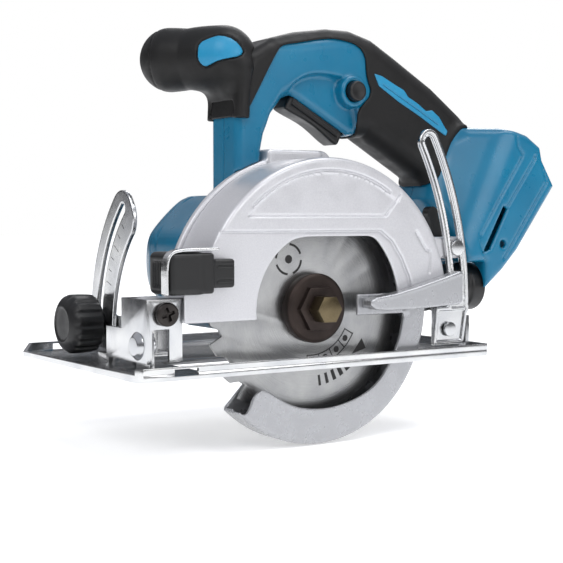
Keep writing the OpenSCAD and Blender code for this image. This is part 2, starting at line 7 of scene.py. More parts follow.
import bmesh
import bpy
import numpy as np
import openvdb
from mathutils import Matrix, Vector


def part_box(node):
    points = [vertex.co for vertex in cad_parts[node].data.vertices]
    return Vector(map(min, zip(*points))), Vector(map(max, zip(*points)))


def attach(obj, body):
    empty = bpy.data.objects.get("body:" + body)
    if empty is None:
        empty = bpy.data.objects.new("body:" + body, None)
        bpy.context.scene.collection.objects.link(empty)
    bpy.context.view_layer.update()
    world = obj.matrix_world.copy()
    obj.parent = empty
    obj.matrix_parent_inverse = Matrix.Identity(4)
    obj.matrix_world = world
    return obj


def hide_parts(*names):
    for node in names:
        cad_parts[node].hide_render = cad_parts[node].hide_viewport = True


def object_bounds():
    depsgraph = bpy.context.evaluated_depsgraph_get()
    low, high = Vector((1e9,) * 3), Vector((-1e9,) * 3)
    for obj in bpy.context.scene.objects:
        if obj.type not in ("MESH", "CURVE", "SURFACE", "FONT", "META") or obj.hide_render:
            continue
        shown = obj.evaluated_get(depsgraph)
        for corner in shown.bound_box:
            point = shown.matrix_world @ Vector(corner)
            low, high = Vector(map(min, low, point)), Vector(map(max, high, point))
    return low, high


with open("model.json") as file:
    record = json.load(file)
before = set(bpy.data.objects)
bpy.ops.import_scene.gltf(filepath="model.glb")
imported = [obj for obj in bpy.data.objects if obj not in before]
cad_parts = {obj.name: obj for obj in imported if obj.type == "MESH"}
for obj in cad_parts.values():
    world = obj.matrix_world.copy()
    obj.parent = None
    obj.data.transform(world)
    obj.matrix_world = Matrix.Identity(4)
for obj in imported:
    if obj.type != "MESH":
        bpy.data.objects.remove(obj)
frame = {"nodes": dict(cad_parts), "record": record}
cad_bounds = [list(corner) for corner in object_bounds()]

MM = 0.001
BODIES = frame["record"]["behaviour"]["bodies"]
BODY_OF = {node: body for body, nodes in BODIES.items() for node in nodes}


def box_mm(node):
    """Lowest and highest corner of a CAD node, in millimetres."""
    low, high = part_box(node)
    return np.array(low) / MM, np.array(high) / MM


def axis_mm(node):
    """X and Z of the middle of a CAD node, in millimetres."""
    low, high = box_mm(node)
    return (low[0] + high[0]) / 2, (low[2] + high[2]) / 2


# Axes across the saw, as X and Z in millimetres, read from the frame
ARBOR = axis_mm("spindle")
MOTOR = axis_mm("rotor")
PIVOT = axis_mm("depth_pivot_screw")
LOCK = axis_mm("depth_bolt")
LOCK_PIN = axis_mm("spindle_lock_button")
BUTTON = axis_mm("lock_off_button")

# Sizes and places that pieces share, in millimetres
CASE = (ARBOR[0] + 5, ARBOR[1])
CASE_R = 77.5
CASE_Y = (-13, 18)
PLATE_R = 79.5  # the plate that closes the guard
PLATE_Y = 22  # its outer face
MOTOR_R = 38
MID_Y = 32  # where the handle's halves meet
GRIP_Y = (18, 46)
FOOT_Y = (-4.5, 68.5)
RUBBER = 1.4
WALL = 2.4
DUST = (13, 37)  # Y and Z of the dust channel
DUST_BORE = 9.5
TILT_Z = 15.5  # height of the bevel's axis, which lies at y = 0


# ---- Distance fields ----
class Block:
    """Voxels round a piece, in millimetres, as open grids x, y and z."""

    def __init__(self, low, high, step):
        self.step = step
        self.low = np.array(low, float) - 2.5 * step
        counts = np.ceil((np.array(high) - self.low) / step + 2.5).astype(int)
        axes = [self.low[i] + step * np.arange(counts[i]) for i in range(3)]
        self.x, self.y, self.z = np.ix_(*[axis.astype(np.float32) for axis in axes])
        self.shape = tuple(counts)


def between(value, low, high):
    """How far a value lies outside a stretch, negative inside it."""
    return np.abs(value - (low + high) / 2) - (high - low) / 2


def join(a, b, fillet=0.0):
    """Union of two fields, blended over the fillet's size."""
    if not fillet:
        return np.minimum(a, b)
    h = np.maximum(fillet - np.abs(a - b), 0) / fillet
    return np.minimum(a, b) - h * h * fillet / 4


def cut(a, b, fillet=0.0):
    """The first field with the second taken away."""
    return -join(-a, b, fillet)


def common(a, b, fillet=0.0):
    """Overlap of two fields."""
    return -join(-a, -b, fillet)


def meet(a, b, radius=0.0):
    """What lies inside both fields, with its edge rounded to a radius."""
    a = a + radius
    b = b + radius
    return np.minimum(np.maximum(a, b), 0) + np.hypot(np.maximum(a, 0), np.maximum(b, 0)) - radius


def from_axis(g, at):
    """Distance from an axis along Y."""
    return np.hypot(g.x - at[0], g.z - at[1])


def rod_y(g, at, r, y0, y1, radius=0.0):
    return meet(from_axis(g, at) - r, between(g.y, y0, y1), radius)


def rod_x(g, at, r, x0, x1, radius=0.0):
    return meet(np.hypot(g.y - at[0], g.z - at[1]) - r, between(g.x, x0, x1), radius)


def brick_in(u, v, w, low, high, radius=0.0):
    """A box with rounded edges in the three coordinates given."""
    d = [between(c, a, b) + radius for c, a, b in zip((u, v, w), low, high)]
    outside = np.sqrt(sum(np.maximum(k, 0) ** 2 for k in d))
    return outside + np.minimum(np.maximum(np.maximum(d[0], d[1]), d[2]), 0) - radius


def brick(g, low, high, radius=0.0):
    return brick_in(g.x, g.y, g.z, low, high, radius)


def line(u, v, points, closed=False):
    """Distance to a chain of straight stretches."""
    ends = np.array(points, np.float32)
    pairs = zip(ends, np.roll(ends, -1, axis=0)) if closed else zip(ends[:-1], ends[1:])
    nearest = np.full(np.broadcast(u, v).shape, 1e9, np.float32)
    for a, b in pairs:
        edge = b - a
        long = max(float(edge @ edge), 1e-9)
        t = np.clip(((u - a[0]) * edge[0] + (v - a[1]) * edge[1]) / long, 0, 1)
        nearest = np.minimum(nearest, (u - a[0] - t * edge[0]) ** 2 + (v - a[1] - t * edge[1]) ** 2)
    return np.sqrt(nearest)


def outline(u, v, points):
    """Signed distance to a closed outline, negative inside."""
    inside = np.zeros(np.broadcast(u, v).shape, bool)
    ends = np.array(points, np.float32)
    for a, b in zip(ends, np.roll(ends, -1, axis=0)):
        rise = b[1] - a[1] or 1.0
        crosses = (a[1] > v) != (b[1] > v)
        inside ^= crosses & (u - a[0] < (b[0] - a[0]) * (v - a[1]) / rise)
    return np.where(inside, -1, 1) * line(u, v, points, closed=True)


def softened(points, times=2):
    """The outline with its corners cut into curves."""
    p = np.array(points, float)
    for _ in range(times):
        q = np.roll(p, -1, axis=0)
        p = np.stack([0.75 * p + 0.25 * q, 0.25 * p + 0.75 * q], 1).reshape(-1, 2)
    return p


def plate_y(g, points, y0, y1, radius=0.0):
    return meet(outline(g.x, g.z, points), between(g.y, y0, y1), radius)


def groove_y(g, points, face, width, depth):
    """A groove along a chain of points, sunk into the face y = face from the -Y side."""
    return meet(line(g.x, g.z, points) - width / 2, between(g.y, face - 3, face + depth), 0.3)


def turned(u, v, origin, degrees):
    """Coordinates in a frame at origin turned anticlockwise by degrees in the u, v plane."""
    c = math.cos(math.radians(degrees))
    s = math.sin(math.radians(degrees))
    return (u - origin[0]) * c + (v - origin[1]) * s, (v - origin[1]) * c - (u - origin[0]) * s


def placed(name, data):
    """A new object in the scene."""
    obj = bpy.data.objects.new(name, data)
    bpy.context.scene.collection.objects.link(obj)
    return obj


def placed_mesh(name, bm):
    """A new object with the finished bmesh as its mesh."""
    mesh = bpy.data.meshes.new(name)
    bm.to_mesh(mesh)
    bm.free()
    return placed(name, mesh)


def piece_of(g, field, name, material, nodes):
    """Meshes a field and puts the piece on its nodes' body."""
    grid = openvdb.FloatGrid(3 * g.step)
    grid.copyFromArray(np.array(np.broadcast_to(field, g.shape), dtype=np.float32, order="C"))
    points, triangles, quads = grid.convertToPolygons(isovalue=0, adaptivity=0)
    points = (points * g.step + g.low) * MM
    faces = [f[::-1].tolist() for f in triangles] + [f[::-1].tolist() for f in quads]
    mesh = bpy.data.meshes.new(name)
    mesh.from_pydata(points.tolist(), [], faces)
    mesh.update()
    mesh.shade_smooth()
    return dress(placed(name, mesh), material, nodes)


def dress(obj, material, nodes):
    """Gives a piece its material and body, and hides the CAD nodes that it stands for."""
    obj.data.materials.clear()
    obj.data.materials.append(material)
    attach(obj, BODY_OF[nodes[0]])
    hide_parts(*nodes)
    return obj


def machined(node, material, edge=0.3, shape=None):
    """A copy of a CAD node with clean faces, softened edges and, if asked, a last shaping."""
    bm = bmesh.new()
    bm.from_mesh(frame["nodes"][node].data)
    bmesh.ops.remove_doubles(bm, verts=bm.verts, dist=2e-6)
    bmesh.ops.dissolve_limit(bm, angle_limit=math.radians(0.5), verts=bm.verts, edges=bm.edges)
    sharp = [e for e in bm.edges if e.is_manifold and e.calc_face_angle(0) > math.radians(28)]
    bmesh.ops.bevel(bm, geom=sharp, offset=edge * MM, segments=2, profile=0.6, affect="EDGES",
                    clamp_overlap=True)
    if shape:
        shape(bm)
    for face in bm.faces:
        face.smooth = True
    for e in bm.edges:
        e.smooth = not e.is_manifold or e.calc_face_angle(0) < math.radians(40)
    return dress(placed_mesh(node + "_finished", bm), material, [node])


# ---- Materials ----
def srgb(*steps):
    """A colour in steps of 0 to 255, as the linear values that shaders take."""
    linear = [((c / 255 + 0.055) / 1.055) ** 2.4 if c > 10 else c / 255 / 12.92 for c in steps]
    return (*linear, 1)


def fill(node, values):
    """Sets a shader node's inputs by name."""
    for socket, value in values.items():
        node.inputs[socket].default_value = value


class Paint:
    """A node material: a Principled shader with noise in its colour, roughness and bump."""

    def __init__(self, name, metallic=0.0, coat=0.0):
        self.material = bpy.data.materials.new(name)
        self.material.use_nodes = True
        self.tree = self.material.node_tree
        self.shader = self.tree.nodes["Principled BSDF"]
        fill(self.shader, {"Metallic": metallic, "Coat Weight": coat, "Coat Roughness": 0.15, "IOR": 1.5})
        self.place = self.add("TexCoord").outputs["Object"]
        self.normal = None

    def add(self, kind, **values):
        """A new shader node; an input is named with _ for its spaces."""
        node = self.tree.nodes.new("ShaderNode" + kind)
        fill(node, {socket.replace("_", " "): value for socket, value in values.items()})
        return node

    def link(self, a, b):
        self.tree.links.new(a, b)

    def stretched(self, scale):
        mapping = self.add("Mapping", Scale=scale)
        self.link(self.place, mapping.inputs["Vector"])
        return mapping.outputs["Vector"]

    def noise(self, per_metre, detail, stretch=None):
        node = self.add("TexNoise", Scale=per_metre, Detail=detail)
        self.link(self.stretched(stretch) if stretch else self.place, node.inputs["Vector"])
        return node.outputs["Fac"]

    def vector_math(self, operation, source):
        node = self.add("VectorMath")
        node.operation = operation
        self.link(source, node.inputs[0])
        return node

    def radius(self, centre):
        """Distance from an axis along Y, so that marks can run in circles round it."""
        shift = self.vector_math("SUBTRACT", self.place)
        shift.inputs[1].default_value = (centre[0] * MM, 0, centre[1] * MM)
        flat = self.vector_math("MULTIPLY", shift.outputs[0])
        flat.inputs[1].default_value = (1, 0, 1)
        return self.vector_math("LENGTH", flat.outputs[0]).outputs["Value"]

    def rings(self, centre, per_metre):
        """Fine marks in circles round an axis along Y."""
        node = self.add("TexNoise", Scale=per_metre, Detail=3)
        node.noise_dimensions = "1D"
        self.link(self.radius(centre), node.inputs["W"])
        return node.outputs["Fac"]

    def colours(self, fac, dark, light, spread=0.25):
        ramp = self.add("ValToRGB")
        low, high = ramp.color_ramp.elements
        low.position = 0.5 - spread
        high.position = 0.5 + spread
        low.color = dark
        high.color = light
        self.link(fac, ramp.inputs["Fac"])
        self.link(ramp.outputs["Color"], self.shader.inputs["Base Color"])

    def roughness(self, fac, low, high):
        spread = self.add("MapRange", From_Min=0.3, From_Max=0.7, To_Min=low, To_Max=high)
        self.link(fac, spread.inputs["Value"])
        self.link(spread.outputs["Result"], self.shader.inputs["Roughness"])

    def bump(self, fac, height_mm, strength):
        node = self.add("Bump", Distance=height_mm * MM, Strength=strength)
        self.link(fac, node.inputs["Height"])
        if self.normal:
            self.link(self.normal, node.inputs["Normal"])
        self.normal = node.outputs["Normal"]
        self.link(self.normal, self.shader.inputs["Normal"])


def moulded_plastic(name, dark, light, rough=(0.3, 0.42), coat=0.15):
    """Injection-moulded plastic: an even colour, slightly cloudy, with a faint grain."""
    paint = Paint(name, coat=coat)
    paint.colours(paint.noise(35, 4), dark, light, 0.3)
    paint.roughness(paint.noise(120, 2), *rough)
    paint.bump(paint.noise(500, 1), 0.004, 0.2)
    return paint.material


def soft_rubber(name, dark, light):
    """Overmoulded rubber: satin to dull, with a coarser grain."""
    paint = Paint(name)
    paint.colours(paint.noise(50, 6), dark, light, 0.25)
    paint.roughness(paint.noise(160, 5), 0.42, 0.6)
    paint.bump(paint.noise(1200, 3), 0.015, 0.4)
    fill(paint.shader, {"Specular IOR Level": 0.35})
    return paint.material


def cast_paint(name, dark, light, metallic=0.45, rough=(0.28, 0.42)):
    """Silver lacquer over a die casting: fine metallic sparkle and a faint orange peel."""
    paint = Paint(name, metallic=metallic, coat=0.25)
    paint.colours(paint.noise(1500, 3), dark, light, 0.35)
    paint.roughness(paint.noise(120, 4), *rough)
    paint.bump(paint.noise(600, 2), 0.003, 0.3)
    return paint.material


def plated_steel(name, dark, light, rough=(0.17, 0.26)):
    """Bright zinc on sheet steel: cloudy passivation and fine rolling marks along X."""
    paint = Paint(name, metallic=1.0)
    paint.colours(paint.noise(45, 3), dark, light, 0.3)
    paint.roughness(paint.noise(150, 4, stretch=(0.3, 1, 1)), *rough)
    paint.bump(paint.noise(500, 2, stretch=(0.15, 1, 1)), 0.003, 0.25)
    return paint.material


def turned_metal(name, centre, dark, light, rough=(0.2, 0.38), metallic=1.0, per_metre=3000):
    """Metal with tool marks in circles round an axis along Y."""
    paint = Paint(name, metallic=metallic)
    paint.colours(paint.noise(70, 5), dark, light, 0.3)
    marks = paint.rings(centre, per_metre)
    paint.roughness(marks, *rough)
    paint.bump(marks, 0.012, 0.5)
    return paint.material


def plain_metal(name, dark, light, rough=(0.25, 0.45), metallic=1.0):
    """Metal with an even, slightly pitted surface."""
    paint = Paint(name, metallic=metallic)
    paint.colours(paint.noise(120, 5), dark, light, 0.3)
    paint.roughness(paint.noise(400, 5), *rough)
    paint.bump(paint.noise(1200, 3), 0.01, 0.4)
    return paint.material


def wound_copper():
    """Enamelled windings: strands as fine ridges."""
    paint = Paint("copper_windings", metallic=0.9)
    wave = paint.add("TexWave", Scale=350, Distortion=1.5)
    paint.link(paint.place, wave.inputs["Vector"])
    # The colour follows the same waves as the bump. This is painted shade: darker in the grooves between
    # strands, lighter on their crests.
    paint.colours(wave.outputs["Fac"], srgb(120, 62, 30), srgb(200, 122, 70))
    paint.roughness(paint.noise(300, 3), 0.25, 0.45)
    paint.bump(wave.outputs["Fac"], 0.2, 0.6)
    return paint.material


def circuit_green():
    """A coated board: dark green with lighter tracks."""
    paint = Paint("circuit_green", coat=0.5)
    tracks = paint.add("TexBrick", Scale=160, Color1=srgb(18, 84, 48), Color2=srgb(22, 96, 54),
                       Mortar=srgb(60, 140, 86))
    paint.link(paint.place, tracks.inputs["Vector"])
    paint.link(tracks.outputs["Color"], paint.shader.inputs["Base Color"])
    paint.roughness(paint.noise(200, 3), 0.3, 0.45)
    return paint.material


BLUE = moulded_plastic("blue_plastic", srgb(0, 102, 138), srgb(8, 116, 152), (0.26, 0.36), 0.2)
INLAY = moulded_plastic("blue_inlay", srgb(18, 128, 172), srgb(30, 142, 184), (0.35, 0.5), 0.05)
RUBBERY = soft_rubber("black_rubber", srgb(10, 10, 10), srgb(19, 18, 18))
BLACK = moulded_plastic("black_plastic", srgb(9, 9, 10), srgb(17, 17, 18), (0.35, 0.5), 0.02)
CAST = cast_paint("silver_casting", srgb(200, 200, 204), srgb(216, 216, 219))
GUARD = cast_paint("guard_satin", srgb(164, 165, 168), srgb(180, 181, 184), 0.6, (0.24, 0.34))
ZINC = plated_steel("zinc_plate", srgb(188, 190, 194), srgb(226, 226, 224))
DARK = turned_metal("oxide_flange", ARBOR, srgb(38, 31, 29), srgb(66, 56, 52), (0.3, 0.5), 0.75)
OXIDE = plain_metal("dark_steel", srgb(46, 43, 42), srgb(74, 70, 68), (0.28, 0.5), 0.85)
BLADE = turned_metal("blade_steel", ARBOR, srgb(146, 147, 149), srgb(176, 176, 175), (0.24, 0.4), 1.0, 6000)
BRONZE = turned_metal("bolt_bronze", ARBOR, srgb(84, 74, 54), srgb(118, 106, 82), (0.25, 0.4), 0.95)
STEEL = turned_metal("ground_steel", ARBOR, srgb(150, 152, 155), srgb(190, 191, 194))
GEAR = plain_metal("gear_steel", srgb(110, 110, 112), srgb(150, 150, 152))
BRASS = plain_metal("contact_brass", srgb(170, 130, 60), srgb(214, 176, 98), (0.2, 0.35))
INK = moulded_plastic("blade_ink", srgb(22, 21, 22), srgb(40, 38, 38), (0.5, 0.65), 0.0)
COPPER = wound_copper()
BOARD = circuit_green()


# ---- Upper guard and gear case ----
PANEL_STEP = [(-66, 69.4), (36.5, 69.4), (44, 64), (50.5, 55), (55.5, 45), (57.6, 36), (57.6, 24)]
CHORD = [(-45, 77.5), (39.5, 77.5), (49.5, 88.8)]
CROWN_R = 69.5
REAR_LINE = [(60.3, 69), (67.4, 59), (70.2, 58), (69.6, 47)]


def arc(centre, r, a0, a1, count=24):
    """Points along an arc in X and Z, from angle a0 to a1."""
    turns = np.radians(np.linspace(a0, a1, count))
    return np.stack([centre[0] + r * np.cos(turns), centre[1] + r * np.sin(turns)], 1)


def polar(centre, r, degrees):
    """The point at an angle on a circle in X and Z."""
    return arc(centre, r, degrees, degrees, 1)[0]


def case_relief(g, field):
    """The steps and lines of the guard's blade-side face."""
    face = CASE_Y[0]
    low_panel = PANEL_STEP + [(57.6, 10), (-90, 10), (-90, 69.4)]
    panel = meet(outline(g.x, g.z, low_panel), between(g.y, face - 3, face + 0.9), 0.3)
    field = cut(field, panel, 0.4)
    field = cut(field, groove_y(g, PANEL_STEP, face, 1.0, 1.5), 0.4)
    segment = np.concatenate([arc(CASE, CROWN_R, 128, 52), CHORD[::-1]])
    crown = plate_y(g, segment, face - 3, face + 0.7, 0.3)
    field = cut(field, crown, 0.4)
    field = cut(field, groove_y(g, CHORD, face, 0.9, 1.2), 0.4)
    field = cut(field, groove_y(g, arc(CASE, CROWN_R + 1.1, 132, 58), face, 1.4, 1.3), 0.3)
    return cut(field, groove_y(g, REAR_LINE, face, 1.2, 1.1), 0.3)


def guard_window(g):
    """The opening that shows the flange and the blade."""
    radius = np.where(g.x < 0, 40, 49)
    opening = common(from_axis(g, ARBOR) - radius, g.z - (ARBOR[1] + 37), 3)
    return np.maximum(opening, between(g.y, CASE_Y[0] - 4, CASE_Y[0] + 4))


def upper_guard():
    """The casting over the blade, with its pivot lug, window and open underside."""
    g = Block((-92, -14, 22), (100, 18.5, 108), 0.6)
    face, back = CASE_Y
    field = rod_y(g, CASE, CASE_R, face, back + 4, 2.2)
    arm = brick(g, (-81, face, 26), (-55, face + 2.4, 41), 1.0)
    web = brick(g, (-90, -7.3, 26), (-66, 14.3, 38), 1.5)
    lug = rod_y(g, PIVOT, 7, -7.3, 14.3, 1.0)
    field = join(field, join(arm, join(web, lug, 2), 2), 3)
    field = join(field, brick(g, (66, -5.2, 54), (99, 3, 66), 1.5), 4)
    field = case_relief(g, field)
    hollow = rod_y(g, CASE, CASE_R - 2.5, face + 2.4, back + 9, 1.5)
    for turn in (20, 60, 130, 165):
        hollow = cut(hollow, rod_y(g, polar(CASE, 73, turn), 4, 9, back + 9), 1.0)
    field = cut(field, hollow, 0.4)
    field = cut(field, guard_window(g), 0.8)
    below = np.minimum(ARBOR[1] - g.z, 80) + np.where(g.x < -38, -4, 0)
    field = np.maximum(field, below)
    field = np.maximum(field, g.y - back)
    ring = rod_y(g, CASE, CASE_R, face - 1, back + 1)
    field = np.maximum(field, np.where(g.x < -66, -99, np.minimum(26 - g.z, -ring)))
    field = cut(field, rod_y(g, PIVOT, 3.1, -9, 16))
    field = cut(field, rod_y(g, LOCK, 2.6, -7, 5))
    field = cut(field, rod_x(g, DUST, DUST_BORE, 60, 95))
    return piece_of(g, field, "upper_guard_casting", CAST, ["upper_guard"])


def gear_case():
    """The plate that closes the guard, with the gear housing and the hand-guard bump on it."""
    g = Block((-76, 5, 2), (86, 43.5, 114), 0.8)
    back = CASE_Y[1]
    plate = np.maximum(rod_y(g, CASE, PLATE_R, back, PLATE_Y, 1.2), 28 - g.z)
    housing = join(rod_y(g, ARBOR, 27, back, 38, 3), rod_y(g, MOTOR, MOTOR_R, back, 38, 2), 8)
    field = join(plate, housing, 3)
    for turn in (-150, -100, -50, 0, 50):
        u, v = turned(g.x, g.z, ARBOR, turn + 90)
        rib = brick_in(u, g.y, v, (10, PLATE_Y - 1, -1.2), (44, 32, 1.2), 0.8)
        field = join(field, np.maximum(rib, 28.5 - g.z), 2)
    field = join(field, rod_y(g, ARBOR, 20.5, 5.5, back + 1, 0.8))
    field = join(field, rod_y(g, ARBOR, 13, 36, 43, 1.2), 2)
    bump = brick(g, (-15, back - 1, 98), (20, 34, 112.5), 2)
    field = join(field, join(bump, rod_y(g, (20, 105.5), 7, back, 34, 2), 0.5), 1.5)
    for hole in ((ARBOR, 24.6, 23.5, 34), (MOTOR, 9, 23.5, 34), (ARBOR, 8, 4, 44), (ARBOR, 14, 12, 20),
                 (ARBOR, 11, 34, 41), (MOTOR, 5, 33, 39), (MOTOR, 9.5, 34.5, 39), (LOCK_PIN, 2.6, 33, 44),
                 (LOCK_PIN, 4.4, 37.5, 46)):
        field = cut(field, rod_y(g, *hole))
    return piece_of(g, field, "gear_case_casting", CAST, ["gear_case"])


# ---- Motor ----
def flat_sides(g):
    """Eight flats round the motor axis, a little inside its round."""
    field = np.full(g.shape, -99.0, np.float32)
    for turn in (0, 45, 90, 135):
        u, v = turned(g.x, g.z, MOTOR, turn)
        field = common(field, np.abs(u) - MOTOR_R + 1.9, 1.2)
    return field


def motor_housing():
    """The motor's drum, with two bands round it and a row of air slots."""
    g = Block((-55, 38, 14), (23, 78.2, 91), 0.8)
    field = meet(rod_y(g, MOTOR, MOTOR_R, 38, 78.2, 0.8), flat_sides(g) - 0.2, 0.8)
    for y in (42, 72):
        ring = np.abs(from_axis(g, MOTOR) - MOTOR_R) - 0.8
        field = cut(field, meet(ring, between(g.y, y - 0.9, y + 0.9), 0.3), 0.5)
    field = cut(field, rod_y(g, MOTOR, MOTOR_R - WALL, 36, 80))
    for turn in range(-60, 45, 12):
        u, v = turned(g.x, g.z, MOTOR, -turn)
        field = cut(field, brick_in(u, g.y, v, (20, 48, -1.6), (45, 66, 1.6), 1.4), 0.6)
    field = cut(field, rod_y(g, ARBOR, 13.4, 36, 43.4))
    return piece_of(g, field, "motor_housing_shell", BLUE, ["motor_housing"])


def motor_end_cap():
    """A domed cap with a ring of air inlets."""
    g = Block((-55, 77.8, 14), (23, 96, 91), 0.7)
    outside = from_axis(g, MOTOR) - MOTOR_R
    taper = (g.y - 84) * 0.55
    dome = common(outside, g.y - 96, 16)
    dome = common(dome, (outside + taper) / 1.14, 5)
    dome = meet(dome, flat_sides(g) + np.clip(g.y - 80, 0, 20) * 0.3, 1.5)
    field = np.maximum(dome, 78 - g.y)
    inside = outside + WALL + 3.2
    inner = np.maximum(common(inside, g.y - 93.5, 14), 70 - g.y)
    inner = common(inner, (inside + taper) / 1.14, 5)
    field = cut(field, inner, 0.4)
    for turn in range(0, 360, 15):
        u, v = turned(g.x, g.z, MOTOR, turn)
        field = cut(field, brick_in(u, g.y, v, (13, 86, -1.1), (23.5, 99, 1.1), 1.0), 0.6)
    return piece_of(g, field, "motor_end_cap_shell", BLUE, ["motor_end_cap"])


# ---- Handle ----
TRIGGER_AT = (3, 141.5)
TRIGGER_LEAN = -29
RAIL_AT = (119, 36)
RAIL_LEAN = 47.6
HANDLE_SCREWS = [((-25, 104), GRIP_Y), ((12, 158), GRIP_Y), ((75, 145), GRIP_Y), ((112, 62), FOOT_Y),
                 ((140, 112), FOOT_Y)]
HANDLE = [(-33, 80), (-17.5, 80), (-17.5, 111), (-15.5, 120), (-11, 130.5), (-3, 139.5), TRIGGER_AT,
          (40, 121), (52, 122.5), (91.5, 100), (100, 97), (112, 105), (130, 128), (99, 150), (70, 166.5),
          (56, 174), (42, 177.6), (28, 177.5), (8.5, 174.5), (-9, 169.5), (-25, 160.5), (-31, 147),
          (-33, 128)]
FOOT = [(118.5, 36), (132, 46.5), (143.5, 57.8), (172.5, 95), (162.8, 110), (161, 117.5), (150.5, 124),
        (134.8, 128), (116, 128.4), (104, 122), (97, 104), (92, 87), (106, 51.5), (118.5, 51.5)]
RUBBER_AREA = [(-45, 127.6), (-30, 128.2), (-26, 133), (-9, 163.5), (-5, 167), (6, 169), (25, 173),
               (38, 172), (45.5, 169), (49, 163), (49, 154), (53.5, 144), (44, 136.5), (42.5, 128),
               (46, 120), (60, 95), (90, 92), (97, 97), (128, 129.5), (100, 165), (60, 195), (0, 195),
               (-45, 175)]
# The foot widens from this line along its normal, by this much per millimetre on each side
FLARE_AT = (136.5, 128)
FLARE_NORMAL = (0.902, -0.432)
FLARE_RISE = 0.9


def doubled(points):
    """Each corner twice, so that softening keeps it tighter."""
    return np.repeat(np.array(points, float), 2, axis=0)


def handle_skin(g):
    """Outer surface of the column, the grip and the battery foot together."""
    edge = 4.5 + 5.5 * np.clip((g.x + 14) / 22, 0, 1)
    grip = meet(outline(g.x, g.z, softened(doubled(HANDLE))), between(g.y, *GRIP_Y), edge)
    along = (g.x - FLARE_AT[0]) * FLARE_NORMAL[0] + (g.z - FLARE_AT[1]) * FLARE_NORMAL[1]
    lean = math.hypot(1, FLARE_RISE)
    near = (FOOT_Y[0] - FLARE_RISE * along - g.y) / lean
    far = (g.y - FOOT_Y[1] - FLARE_RISE * along) / lean
    foot = meet(outline(g.x, g.z, softened(doubled(FOOT))), between(g.y, *FOOT_Y), 3.5)
    foot = common(common(foot, near, 7), far, 7)
    return join(grip, foot, 5)


def handle_inside(g):
    """Room inside the shells, and the openings in them."""
    x, z = turned(g.x, g.z, TRIGGER_AT, TRIGGER_LEAN)
    room = brick_in(x, g.y, z, (0.5, MID_Y - 7, -12), (42, MID_Y + 7, 16.8), 1)
    room = join(room, rod_y(g, BUTTON, 5.6, 0, 70))
    room = join(room, rod_x(g, DUST, 14.4, 95, 160))
    x, z = turned(g.x, g.z, RAIL_AT, RAIL_LEAN)
    room = join(room, brick_in(x, g.y, z, (24, 15, -12), (84, 49, 4.2), 1))
    return join(room, brick_in(x, g.y, z, (24, 11, 4), (84, 53, 10), 1))


def seats(g):
    """Where the handle lies against the motor, the gear case and the guard."""
    room = rod_y(g, MOTOR, MOTOR_R + 0.1, 17, 60)
    room = join(room, rod_y(g, CASE, PLATE_R + 0.2, 10, PLATE_Y + 0.1))
    return join(room, brick(g, (-15.2, 17, 90), (28, 34.2, 112.7), 1))


def battery_liner(g):
    """The solid block in the foot that the battery's slot is cut into."""
    x, z = turned(g.x, g.z, RAIL_AT, RAIL_LEAN)
    return brick_in(x, g.y, z, (22, 9, 3), (86, 55, 12), 1)


FOOT_LINE = [(139, 134), (142.5, 117), (146.5, 112.5), (128, 86.5), (114.5, 67), (114, 62), (119, 50)]
FOOT_EDGE = [(156, 112), (154.4, 109), (134.3, 82.6)]
FOOT_REAR = [(163.5, 104), (165.6, 97.5), (156, 85), (132, 53)]


def foot_details(g, field, face, side):
    """Panel lines, the finger slot and the cord eye on one side of the battery foot."""
    depth = (g.y - face) * side
    for points, width in ((FOOT_LINE, 0.8), (FOOT_EDGE, 1.1), (FOOT_REAR, 1.1)):
        trench = meet(line(g.x, g.z, points) - width / 2, depth - 0.9, 0.3)
        field = cut(field, trench, 0.4)
    wedge = outline(g.x, g.z, [(116.2, 56.6), (121.6, 58.2), (134.9, 81.6), (131.8, 83.4)])
    field = cut(field, meet(wedge, depth - 6, 0.5), 0.6)
    eye = from_axis(g, (131.5, 61.4)) - 2.4
    return cut(field, meet(eye, depth - 2.2, 0.3), 0.6)


SCOOP = [(-2, 137), (0.5, 146), (9, 152), (21, 154), (35, 152), (40, 150), (44, 137), (46, 118), (40, 112),
         (8, 128)]


def trigger_hollow(g, field):
    """The scooped side round the trigger, where a finger slides in."""
    flat = outline(g.x, g.z, softened(SCOOP, 3))
    near = meet(flat, g.y - (GRIP_Y[0] + 4), 2.5)
    far = meet(flat, (GRIP_Y[1] - 4) - g.y, 2.5)
    return cut(cut(field, near, 2), far, 2)


def handle_shell(name, node, side):
    """One half of the handle, parted at the middle plane; side is -1 for the blade side."""
    near = side < 0
    low_y, high_y = (FOOT_Y[0] - 3, MID_Y) if near else (MID_Y, FOOT_Y[1])
    g = Block((-34, low_y, 35), (173, high_y, 178.5), 0.8)
    skin = handle_skin(g)
    scooped = trigger_hollow(g, skin)
    collar_y = (GRIP_Y[0] - 2.5, MID_Y) if near else (MID_Y, GRIP_Y[1] + 1.5)
    field = join(scooped, rod_y(g, BUTTON, 8.6, *collar_y, 1.4), 1.2)
    field = foot_details(g, field, FOOT_Y[0] if near else FOOT_Y[1], -side)
    field = cut(field, scooped + WALL, 0.3)
    field = join(field, np.maximum(battery_liner(g), skin))
    field = join(field, np.maximum(rod_x(g, DUST, 16.6, 95, 160), skin))
    for at, (y0, y1) in HANDLE_SCREWS:
        field = join(field, rod_y(g, at, 4.2, y0 + 1, y1 - 1))
        field = cut(field, rod_y(g, at, 1.6, 24, y1 + 2))
        field = cut(field, rod_y(g, at, 3.4, y1 - 4, y1 + 3))
    field = cut(field, handle_inside(g), 0.5)
    field = cut(field, seats(g))
    seam = meet(np.abs(g.y - MID_Y) - 0.35, -(skin + 0.6), 0.2)
    field = cut(field, seam, 0.3)
    half = (g.y - MID_Y + 0.04) if near else (MID_Y + 0.04 - g.y)
    return piece_of(g, np.maximum(field, half), name, BLUE, [node])


